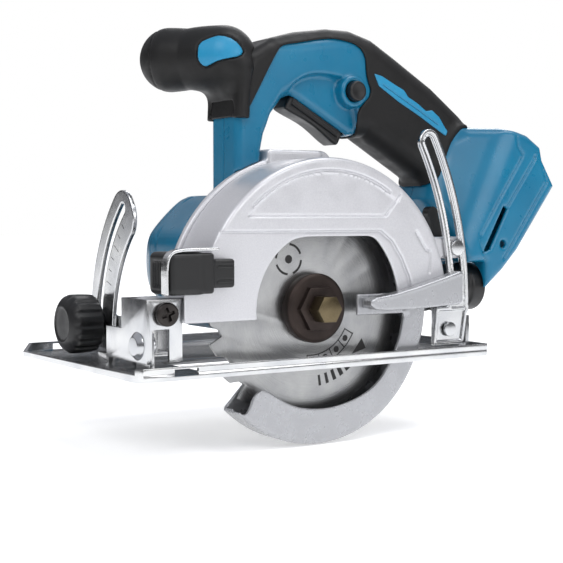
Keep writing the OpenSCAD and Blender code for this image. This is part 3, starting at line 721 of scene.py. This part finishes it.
def rubber_skin(g):
    """The rubber's outer surface where it covers the handle, and the handle's own skin."""
    skin = handle_skin(g)
    area = outline(g.x, g.z, softened(RUBBER_AREA))
    return meet(skin - RUBBER, area, 0.9), skin


def grip_overmould():
    """The rubber on the grip, with a patch of ridges on the motor side."""
    g = Block((-36, GRIP_Y[0] - RUBBER, 95), (131, GRIP_Y[1] + RUBBER, 180), 0.7)
    field, skin = rubber_skin(g)
    for offset in range(9):
        u, v = turned(g.x, g.z, (62, 143), -36)
        ridge = between(v, -14 + offset * 3.4, -13 + offset * 3.4)
        on_side = meet(ridge, between(u, -2, 36), 0.4)
        far = meet(on_side, (GRIP_Y[1] + RUBBER - 0.5) - g.y, 0.3)
        field = cut(field, far, 0.5)
    field = cut(field, rod_y(g, BUTTON, 9.4, 0, 80), 0.5)
    field = cut(field, skin)
    return piece_of(g, field, "grip_rubber", RUBBERY, ["grip_overmould"])


STRIPE = [(54, 155.6), (59.5, 154.5), (68, 150.6), (75, 147.6), (78, 144), (84.4, 141), (91, 136.8),
          (95.4, 137.4), (100.6, 133.8), (106.6, 126), (105.1, 123.2), (100.6, 125.8), (86, 133.7),
          (71.5, 140.8), (57.4, 148.9)]


def grip_inlay():
    """The blue strip let into the grip's blade side."""
    g = Block((53, 13.5, 120), (111, 20, 159), 0.4)
    skin = handle_skin(g)
    flat = outline(g.x, g.z, softened(doubled(STRIPE)))
    field = meet(meet(flat, skin - RUBBER - 0.45, 0.4), -(skin - 0.2))
    seam = line(g.x, g.z, [(60, 149.8), (73.5, 142.8), (87.5, 135.8), (100, 129.2)]) - 0.35
    field = cut(field, meet(seam, RUBBER - 0.1 - skin, 0.1), 0.2)
    return piece_of(g, field, "grip_stripe", INLAY, ["grip_inlay"])


BULB = Vector((-29, 30, 160))
BULB_TURN = math.radians(128.2)


def bulb_coordinates(g):
    """Along the front grip, across it, and up."""
    c = math.cos(BULB_TURN)
    s = math.sin(BULB_TURN)
    along = (g.x - BULB.x) * c + (g.y - BULB.y) * s
    across = (g.y - BULB.y) * c - (g.x - BULB.x) * s
    return along, across, g.z - BULB.z


def bulb_skin(g):
    """The pear-shaped front grip."""
    along, across, up = bulb_coordinates(g)
    radius = 16.9 - 0.9 * np.clip(1 - np.abs(along - 24) / 14, 0, 1) ** 2
    core = np.clip(along, 4.5, 34)
    reach = np.sqrt((along - core) ** 2 + across ** 2 + up ** 2)
    return reach - radius


def front_grip():
    """The rubber front grip with its neck, cut to sit on the handle."""
    g = Block((-80, -1, 126), (2, 88, 178), 0.7)
    bulb = bulb_skin(g)
    along, across, up = bulb_coordinates(g)
    seam = meet(np.abs(along - 40) - 0.35, np.abs(bulb) - 0.6, 0.2)
    bulb = cut(bulb, seam, 0.5)
    leaning = g.x - 0.05 * (g.z - 126)
    neck = brick_in(leaning, g.y, g.z, (-34.4, 14.8, 120), (-26.2, 49.2, 156), 3.5)
    field = join(bulb, neck, 9)
    field = np.maximum(field, 127.8 - g.z)
    rubber, skin = rubber_skin(g)
    field = cut(field, np.minimum(skin, rubber), 0.2)
    pocket = meet(bean_outline(along, up) - 0.8, np.maximum(-across, -(bulb + 1.0)), 0.3)
    field = cut(field, pocket, 0.5)
    return piece_of(g, field, "front_grip_rubber", RUBBERY, ["front_grip"])


BEAN = [(17.8, 6.2), (10.6, 8.9), (4.6, 10), (-3.2, 7.8), (-8, 2.4), (-6.8, -0.8), (-1.4, -1.9), (4.6, -3),
        (10.6, -5.1), (14.2, -6.2), (17.8, -3.5), (18.4, 0.8)]


def bean_outline(along, up):
    """The bean-shaped inlay's outline on the grip's blade side, along it and up."""
    u, v = np.broadcast_arrays(along * 1.2 + 3.4, up)
    return outline(u, v, softened(BEAN, 1))


def front_grip_inlay():
    """The blue bean let into the front grip."""
    g = Block((-55, 5, 145), (-5, 40, 175), 0.4)
    bulb = bulb_skin(g)
    along, across, up = bulb_coordinates(g)
    field = meet(bean_outline(along, up), np.maximum(bulb + 0.1, -(bulb + 1.2)), 0.3)
    field = np.maximum(field, 2 - across)
    field = cut(field, handle_skin(g) - RUBBER - 0.3)
    return piece_of(g, field, "front_grip_bean", INLAY, ["front_grip_inlay"])


# ---- Small moulded pieces ----
STRAP = [(-93.4, 41), (-93.6, 54), (-92, 59.5), (-87, 61.6), (-66, 61.8)]


def nozzle_strap():
    """The bright strip that runs up the front of the nozzle and over it."""
    g = Block((-96, -19, 38), (-62, -12.6, 66), 0.35)
    path = line(g.x, g.z, softened_path(STRAP))
    field = meet(path - 0.75, between(g.y, -18.6, -13.3), 0.3)
    return piece_of(g, field, "nozzle_strap", ZINC, ["nozzle"])


def softened_path(points):
    """An open path with its inner corners cut twice."""
    for _ in range(2):
        short = [points[0]]
        for a, b in zip(points[:-1], points[1:]):
            short.append((a[0] * 0.75 + b[0] * 0.25, a[1] * 0.75 + b[1] * 0.25))
            short.append((a[0] * 0.25 + b[0] * 0.75, a[1] * 0.25 + b[1] * 0.75))
        points = short + [points[-1]]
    return points


def nozzle():
    """The black block ahead of the guard, stepped down to its outlet."""
    g = Block((-92, -19, 40), (-56, 4, 60.6), 0.45)
    field = brick(g, (-92, -19, 40), (-73.5, 4, 60.5), 3)
    field = join(field, brick(g, (-76, -19, 40.5), (-68, -13.05, 60), 1.5), 1.5)
    field = join(field, brick(g, (-70, -18, 43), (-56, -13.05, 57), 1.6), 1.0)
    for z in (46.5, 53.5):
        field = cut(field, brick(g, (-66, -21, z - 0.5), (-55, -17.3, z + 0.5), 0.4), 0.4)
    slit = brick(g, (-93, -14, 44), (-90.5, -1, 56), 1)
    field = cut(field, slit, 0.8)
    for y in np.arange(-12, 0, 2.4):
        field = join(field, brick(g, (-91.6, y, 44), (-90, y + 0.8, 56), 0.3), 0.3)
    return piece_of(g, field, "blower_nozzle", BLACK, ["nozzle"])


def dust_port():
    """The round spout behind the guard, with four ribs and a collar."""
    g = Block((76, -1, 23), (122, 27, 51), 0.55)
    field = join(rod_x(g, DUST, 12.6, 76, 113, 0.5), rod_x(g, DUST, 13.7, 112, 122, 1.4), 0.8)
    for x in (86, 92, 98, 104):
        field = join(field, rod_x(g, DUST, 13.3, x, x + 1.6, 0.6), 0.8)
    field = cut(field, rod_x(g, DUST, DUST_BORE, 70, 130))
    field = cut(field, rod_x(g, DUST, DUST_BORE + 1, 100, 130), 0.8)
    field = cut(field, rod_y(g, CASE, CASE_R, *CASE_Y))
    field = cut(field, rod_y(g, CASE, PLATE_R + 0.1, CASE_Y[1] - 0.1, PLATE_Y + 0.1))
    return piece_of(g, field, "dust_spout", BLACK, ["dust_port"])


def bevel_knob():
    """The fluted clamp knob in front of the quadrant."""
    low, high = box_mm("bevel_knob")
    knob = ((low[1] + high[1]) / 2, (low[2] + high[2]) / 2)
    g = Block(low, high, 0.5)
    spin = np.hypot(g.y - knob[0], g.z - knob[1])
    turn = np.arctan2(g.z - knob[1], g.y - knob[0])
    barrel = (np.abs(g.x - low[0] - 9) / 12) ** 2 * 0.8
    flute = 15.9 - 0.7 * np.clip(np.cos(14 * turn), 0, 1) - barrel
    bevel = spin + (low[0] + 4 - g.x) * 1.4 - 16
    field = common(meet(spin - flute, between(g.x, low[0], -82), 1.6), bevel, 3)
    field = cut(field, rod_x(g, knob, 9, low[0] - 2, low[0] + 1.0, 0.4), 0.6)
    field = join(field, rod_x(g, knob, 7.5, -84, -79, 0.5), 0.5)
    field = cut(field, rod_x(g, knob, 3, -98, -78))
    return piece_of(g, field, "clamp_knob", BLACK, ["bevel_knob"])


def trigger():
    """The finger lever, hollowed along its front, with a groove down each side."""
    g = Block(*box_mm("trigger"), 0.45)
    x, z = turned(g.x, g.z, TRIGGER_AT, TRIGGER_LEAN)
    field = brick_in(x, g.y, z, (1.2, MID_Y - 6.5, -6.5), (41.2, MID_Y + 6.5, 8), 1.6)
    finger = np.hypot(x - 21, z + 52) - 46.9
    field = cut(field, finger, 2)
    for y in (MID_Y - 6.6, MID_Y + 6.6):
        field = cut(field, brick_in(x, g.y, z, (4, y - 0.8, -2.6), (38.5, y + 0.8, 0.4), 0.5), 0.5)
    return piece_of(g, field, "finger_lever", BLACK, ["trigger"])


def lock_off_button():
    """The cross bolt that frees the trigger, dished at both ends."""
    g = Block(*box_mm("lock_off_button"), 0.4)
    ends = (11.5, 48.5)
    field = rod_y(g, BUTTON, 5.5, *ends, 1.4)
    for y, side in zip(ends, (1, -1)):
        off = (g.x - BUTTON[0]) ** 2 + (g.z - BUTTON[1]) ** 2 + (g.y - y + side * 9.4) ** 2
        field = cut(field, np.sqrt(off) - 10, 0.8)
    return piece_of(g, field, "lock_off_pin", BLACK, ["lock_off_button"])


# ---- Lower guard ----
WAVE = [(-75, -16), (-55, -14.5), (-50, -16), (-47.5, -20.5), (-45, -21.5), (-42.4, -18), (-40.5, -12.5),
        (-36, -9.4), (-32, -9.2), (-25, -12.5), (-19, -16.8), (-10, -20), (5, -21.6), (18, -20),
        (30.5, -16), (41, -8), (49, 4.5), (53.5, 17), (55.5, 32), (80, 32), (80, -60), (-75, -60)]


def lower_guard():
    """The bowl that swings over the blade's lower half, with a wavy front edge."""
    g = Block((-55, -10, -41), (71, 12.2, 66), 0.55)
    spin = from_axis(g, ARBOR)
    shell = meet(spin - 70, between(g.y, -9.8, 8), 2.4)
    hollow = meet(spin - 68, between(g.y, -7.8, 6), 1.0)
    field = cut(shell, hollow, 0.2)
    crescent = outline(g.x, g.z, softened(WAVE))
    lip = common(crescent, 50.5 - spin, 4)
    field = cut(field, np.maximum(-lip, g.y + 1), 0.3)
    first = math.radians(226)
    last = math.radians(390)
    front = (g.x - ARBOR[0]) * math.sin(first) - (g.z - ARBOR[1]) * math.cos(first)
    rear = (g.z - ARBOR[1]) * math.cos(last) - (g.x - ARBOR[0]) * math.sin(last)
    field = np.maximum(field, np.where(g.z < ARBOR[1], front, np.maximum(rear, -g.x)))
    hub = rod_y(g, ARBOR, 26, 6, 12, 0.8)
    arm = brick(g, (23.5, -9.8, 25.4), (58, -7.8, 36.5), 0.8)
    field = join(join(field, hub, 1.5), arm, 1.5)
    field = cut(field, rod_y(g, ARBOR, 20.58, 4, 14))
    return piece_of(g, field, "guard_bowl", GUARD, ["lower_guard"])


LEVER = [(23.5, 31.4), (27, 29), (34, 28.4), (60, 28.6), (84, 29.6), (86, 31), (86, 46.5), (84, 47.5),
         (72, 44.2), (55, 40), (40, 36.8), (27, 35.2), (23.5, 33.6)]
LEVER_TOP = [(27, 34), (40, 35.5), (55, 38.6), (72, 42.7), (85.5, 46), (85.5, 48.5), (72, 45), (55, 41),
             (40, 37.8), (27, 36)]


def guard_lever():
    """The retracting lever in front of the flange, with a raised thumb end."""
    g = Block((23, -22, 27.5), (86.5, -9.5, 48), 0.45)
    near, far = -21.8, -14
    field = plate_y(g, LEVER, near, far, 1.2)
    field = cut(field, brick(g, (42, -19.2, 20), (84, -12, 50), 1.2), 0.6)
    field = join(field, plate_y(g, LEVER, near, -19.4, 1.0))
    field = join(field, brick(g, (26.5, -16, 29.2), (33.5, -9.8, 34.8), 0.6), 0.8)
    ridge = np.maximum(plate_y(g, LEVER_TOP, near, far, 0.5), plate_y(g, LEVER, near, far, 0.8))
    field = join(field, ridge, 0.6)
    field = cut(field, brick(g, (59.4, -23, 27), (60.2, -21.5, 33), 0.2), 0.3)
    return piece_of(g, field, "guard_lever_casting", GUARD, ["guard_lever"])


def pivot_screw():
    """The depth pivot: a domed head with a cross recess, its shank and a nut."""
    low, high = box_mm("depth_pivot_screw")
    g = Block(low, high, 0.3)
    head = rod_y(g, PIVOT, 5.8, low[1], -10, 1.2)
    for turn in (20, 110):
        u, v = turned(g.x, g.z, PIVOT, turn)
        head = cut(head, brick_in(u, g.y, v, (-3.4, -17, -0.75), (3.4, low[1] + 2.2, 0.75), 0.3), 0.4)
    shank = rod_y(g, PIVOT, 3, -11, 19)
    nut = np.full(g.shape, -9.0, np.float32)
    for turn in (0, 60, 120):
        u, v = turned(g.x, g.z, PIVOT, turn)
        nut = np.maximum(nut, np.abs(u) - 5)
    nut = meet(nut, between(g.y, 17, high[1]), 0.5)
    field = join(join(head, shank), nut)
    return piece_of(g, field, "pivot_screw", OXIDE, ["depth_pivot_screw"])


# ---- Metal pieces and printed marks ----
GUIDE_R = 185


def guide_strip(g, half_width, first, last):
    """A strip along the depth guide's arc between two angles, rounded at its top end."""
    reach = from_axis(g, PIVOT)
    turn = np.degrees(np.arctan2(g.z - PIVOT[1], g.x - PIVOT[0]))
    end = polar(PIVOT, GUIDE_R, last)
    strip = np.where(turn > last, from_axis(g, end) - half_width, np.abs(reach - GUIDE_R) - half_width)
    return np.maximum(strip, (first - turn) * 3.2)


def depth_guide():
    """The bent depth scale: a strip with raised edges on both sides of its slot, and a riveted foot."""
    g = Block(*box_mm("depth_guide"), 0.4)
    foot = outline(g.x, g.z, [(79, 27.5), (77, 6.5), (98.5, 6.5), (101.8, 27.5)])
    flat = join(guide_strip(g, 7, -2, 27.9), foot, 2)
    field = meet(flat, between(g.y, -8, -5.5), 0.4)
    panel = meet(flat + 2.2, g.y + 7.0, 0.3)
    field = cut(field, panel, 0.5)
    slot = guide_strip(g, 2.8, 1.2, 28)
    rim = meet(np.maximum(slot - 1.2, -slot), between(g.y, -7.8, -5.5), 0.3)
    field = join(field, rim, 0.4)
    field = cut(field, slot)
    field = cut(field, from_axis(g, (88, 15)) - 2.5)
    return piece_of(g, field, "depth_scale", ZINC, ["depth_guide"])


def inked(name, rings, body):
    """A thin mark in ink, closed between two matching rings of points in millimetres."""
    bm = bmesh.new()
    near, far = [[bm.verts.new([c * MM for c in point]) for point in ring] for ring in rings]
    bm.faces.new(near)
    bm.faces.new(far[::-1])
    for i in range(len(near)):
        j = (i + 1) % len(near)
        bm.faces.new((near[j], near[i], far[i], far[j]))
    bmesh.ops.recalc_face_normals(bm, faces=bm.faces)
    obj = placed_mesh(name, bm)
    obj.data.materials.append(INK)
    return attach(obj, body)


def joined(name, objects):
    """Several objects made into one piece."""
    bpy.ops.object.select_all(action="DESELECT")
    for o in objects:
        o.select_set(True)
    bpy.context.view_layer.objects.active = objects[0]
    bpy.ops.object.join()
    objects[0].name = name
    return objects[0]


def band(centre, inner, outer, a0, a1, count):
    """The outline of a stretch of a flat ring."""
    return np.concatenate([arc(centre, outer, a0, a1, count), arc(centre, inner, a1, a0, count)])


def blade_marks():
    """Printed marks on the blade: a direction ring, a row of bars and an arrow. No letters."""
    ring = (-13.9, 55.4)
    shapes = [band(ring, 7.1, 8.3, start, start + 66, 10) for start in (20, 110, 200, 290)]
    shapes.append(arc(ring, 2.2, 0, 345, 24))
    for i in range(5):
        start = 277 + 6.6 * i
        shapes.append(band(ARBOR, 35.8, 41.5, start, start + 2.2 + i * 0.5, 3))
    shapes.append([(26.4, 4.2), (35.7, 6.9), (33, 12.4)])
    for r in (24.6, 30.4):
        shapes.append(band(ARBOR, r, r + 0.6, 264, 332, 24))
    for i in range(5):
        start = 264 + 16.6 * i
        shapes.append(band(ARBOR, 24.8, 30.8, start, start + 1.3, 2))
    for i in range(4):
        shapes.append(arc(polar(ARBOR, 27.8, 272.5 + 16.6 * i), 1.7, 0, 330, 12))
    faces = (-0.84, -0.79)
    marks = [inked("mark", [[(x, y, z) for x, z in shape] for y in faces], "drive") for shape in shapes]
    return joined("blade_print", marks)


def quadrant_scale():
    """Degree lines on the front of the bevel quadrant, every five degrees."""
    front = box_mm("bevel_quadrant")[0][0]
    lines = []
    for i in range(9):
        turn = math.radians(5 * i + 4)
        radial = Vector((0, math.cos(turn), math.sin(turn)))
        across = Vector((0, -math.sin(turn), math.cos(turn)))
        inner = 77 if i % 3 == 0 else 79.5
        corners = ((inner, -0.14), (83, -0.14), (83, 0.14), (inner, 0.14))
        rings = [[Vector((x, 0, TILT_Z)) + radial * r + across * side for r, side in corners]
                 for x in (front - 0.06, front + 0.05)]
        lines.append(inked("degree_line", rings, "base"))
    return joined("quadrant_scale", lines)


def folded_rim(bm):
    """The base's near edge gets a fold line, and its front edge runs down to a thin lip."""
    low, high = box_mm("base_plate")
    for z in (3.0, 3.6, 4.2):
        every = list(bm.verts) + list(bm.edges) + list(bm.faces)
        bmesh.ops.bisect_plane(bm, geom=every, plane_co=(0, 0, z * MM), plane_no=(0, 0, 1))
    for v in bm.verts:
        x, y, z = v.co / MM
        if abs(z - 3.6) < 0.02 and y < low[1] + 0.1 and low[0] + 4 < x < high[0] - 4:
            v.co.y += 0.8 * MM
        if x < low[0] + 2.6 and z > 2.05 and y > low[1] + 3:
            v.co.z = (2 + (z - 2) * (0.12 + 0.4 * (high[1] - y) / (high[1] - low[1]))) * MM


def bevel_quadrant():
    """The slotted arc that the base tilts along, its end fully rounded."""
    low, high = box_mm("bevel_quadrant")
    g = Block(low, high, 0.4)
    r = np.hypot(g.y, g.z - TILT_Z)
    angle = np.arctan2(g.z - TILT_Z, g.y)
    end = math.radians(54.3) * 86
    side = np.abs(r - 85.75) - 1.75
    ring = np.hypot(np.maximum(side, 0), np.maximum(angle * 86 - end + 12, 0)) - 12
    slot_angle = np.clip(angle, math.radians(2.2), math.radians(48))
    slot_r = 88.4
    slot = np.hypot(g.y - slot_r * np.cos(slot_angle), g.z - TILT_Z - slot_r * np.sin(slot_angle)) - 3.1
    flat = np.maximum(cut(ring, slot, 0.2), low[2] - g.z)
    plate = meet(flat, between(g.x, -78.5, -76), 0.4)
    foot = brick(g, (-78.5, 71.5, 2), (-66, 98, 4), 0.5)
    for y in (78, 92):
        foot = cut(foot, np.maximum(np.hypot(g.x + 71, g.y - y) - 2, np.abs(g.z - 3) - 3))
    field = join(plate, foot, 0.8)
    return piece_of(g, field, "quadrant_arc", ZINC, ["bevel_quadrant"])


# CAD nodes, material, slot and size of the softened edge
METAL = [
    (("front_bracket", "rear_bracket"), ZINC, "zinc_steel", 0.45),
    (("quadrant_rivets", "bevel_rivets", "guide_rivet"), ZINC, "zinc_steel", 0.3),
    (("bevel_bolt", "depth_bolt"), ZINC, "zinc_steel", 0.3),
    (("fence_screw", "case_screws", "handle_screws"), OXIDE, "dark_steel", 0.25),
    (("outer_flange",), DARK, "dark_steel", 0.5),
    (("inner_flange",), DARK, "dark_steel", 0.3),
    (("blade_bolt",), BRONZE, "bolt_bronze", 0.5),
    (("blade",), BLADE, "blade_steel", 0.12),
    (("depth_lever",), BLACK, "black_plastic", 0.8),
    (("spindle_lock_button",), BLACK, "black_plastic", 0.4),
    (("drive_gear", "pinion"), GEAR, "gear_steel", 0.15),
    (("fan",), BLACK, "black_plastic", 0.2),
]


def finished_pieces():
    """CAD nodes that keep their shape and get clean, softened edges."""
    machined("base_plate", ZINC, 0.45, folded_rim)
    for nodes, material, slot, edge in METAL:
        for node in nodes:
            machined(node, material, edge)


def inner_pieces():
    """Pieces inside the casings, which stay as they are and get their material."""
    looks = {
        "switch_module": BLACK, "controller_board": BOARD, "battery_terminals": BRASS, "stator": COPPER,
        "motor_bearing_front": STEEL, "motor_bearing_rear": STEEL, "spindle_bearing_front": STEEL,
        "spindle_bearing_rear": STEEL, "guard_spring": ZINC, "guard_bumper": RUBBERY, "spindle": STEEL,
        "rotor": GEAR,
    }
    for node, material in looks.items():
        mesh = frame["nodes"][node].data
        mesh.materials.clear()
        mesh.materials.append(material)


# ---- Stage ----
def floor():
    """A white sheet just under the base."""
    low = cad_bounds[0][2] - 0.0006
    bpy.ops.mesh.primitive_plane_add(size=12, location=(0, 0, low))
    plane = bpy.context.object
    plane.name = "floor"
    paint = Paint("floor_paper")
    paint.colours(paint.noise(8, 2), (0.9, 0.9, 0.9, 1), (0.93, 0.93, 0.93, 1))
    paint.roughness(paint.noise(40, 2), 0.8, 0.9)
    fill(paint.shader, {"Emission Color": (1, 1, 1, 1), "Emission Strength": 0.4})
    plane.data.materials.append(paint.material)


def aim(obj, direction):
    """Turns a lamp or the camera to look along a direction."""
    obj.rotation_euler = Vector(direction).to_track_quat("-Z", "Y").to_euler()


def light(name, place, size, watts):
    """A soft box that looks at the saw's middle."""
    data = bpy.data.lights.new(name, "AREA")
    data.shape = "RECTANGLE"
    data.size, data.size_y = size
    data.energy = watts
    lamp = placed(name, data)
    lamp.location = place
    aim(lamp, Vector((0.03, 0.03, 0.06)) - Vector(place))


def lamps():
    data = bpy.data.lights.new("sun", "SUN")
    data.energy = 1.3
    data.angle = math.radians(40)
    aim(placed("sun", data), (-0.3, 0.3, -1.0))
    light("key", (-0.85, -0.7, 1.0), (0.6, 0.6), 5)
    light("front", (0.35, -1.3, 0.55), (0.9, 0.5), 3.5)
    light("rear", (0.75, 0.85, 0.8), (0.6, 0.6), 4)


def studio():
    """White for the camera; a soft room for reflections, darker at eye level than above and below."""
    world = bpy.data.worlds.new("studio")
    world.use_nodes = True
    tree = world.node_tree
    back = tree.nodes["Background"]
    direction = tree.nodes.new("ShaderNodeTexCoord")
    split = tree.nodes.new("ShaderNodeSeparateXYZ")
    tree.links.new(direction.outputs["Generated"], split.inputs[0])
    height = tree.nodes.new("ShaderNodeMapRange")
    fill(height, {"From Min": -1})
    tree.links.new(split.outputs["Z"], height.inputs["Value"])
    ramp = tree.nodes.new("ShaderNodeValToRGB")
    stops = ramp.color_ramp.elements
    stops[0].position = 0.44
    stops[0].color = (0.8, 0.8, 0.82, 1)
    stops[1].position = 1.0
    stops[1].color = (0.62, 0.66, 0.74, 1)
    for place, shade in ((0.50, 0.08), (0.58, 0.1), (0.66, 0.4), (0.74, 0.8)):
        stop = stops.new(place)
        stop.color = (shade, shade, shade * 1.06, 1)
    tree.links.new(height.outputs["Result"], ramp.inputs["Fac"])
    tree.links.new(ramp.outputs["Color"], back.inputs["Color"])
    fill(back, {"Strength": 0.7})
    white = tree.nodes.new("ShaderNodeBackground")
    fill(white, {"Color": (1, 1, 1, 1), "Strength": 1.0})
    seen = tree.nodes.new("ShaderNodeLightPath")
    mix = tree.nodes.new("ShaderNodeMixShader")
    tree.links.new(seen.outputs["Is Camera Ray"], mix.inputs["Fac"])
    tree.links.new(back.outputs[0], mix.inputs[1])
    tree.links.new(white.outputs[0], mix.inputs[2])
    tree.links.new(mix.outputs[0], tree.nodes["World Output"].inputs["Surface"])
    bpy.context.scene.world = world
    bpy.context.scene.view_settings.view_transform = "Standard"


def camera():
    """Low three-quarter view of the blade side, from the front."""
    data = bpy.data.cameras.new("camera")
    data.lens = 80.57
    data.sensor_width = 36
    data.clip_start = 0.01
    view = placed("camera", data)
    view.location = (-0.371, -0.538, 0.078)
    dip = math.radians(3.02)
    aim(view, (0.549 * math.cos(dip), 0.836 * math.cos(dip), -math.sin(dip)))
    bpy.context.scene.camera = view


camera()
studio()
lamps()
floor()
finished_pieces()
inner_pieces()
upper_guard()
gear_case()
motor_housing()
motor_end_cap()
handle_shell("handle_near_half", "handle_shell_near", -1)
handle_shell("handle_far_half", "handle_shell_far", 1)
grip_overmould()
grip_inlay()
front_grip()
front_grip_inlay()
nozzle()
dust_port()
bevel_knob()
trigger()
lock_off_button()
lower_guard()
guard_lever()
nozzle_strap()
pivot_screw()
bevel_quadrant()
depth_guide()
blade_marks()
quadrant_scale()
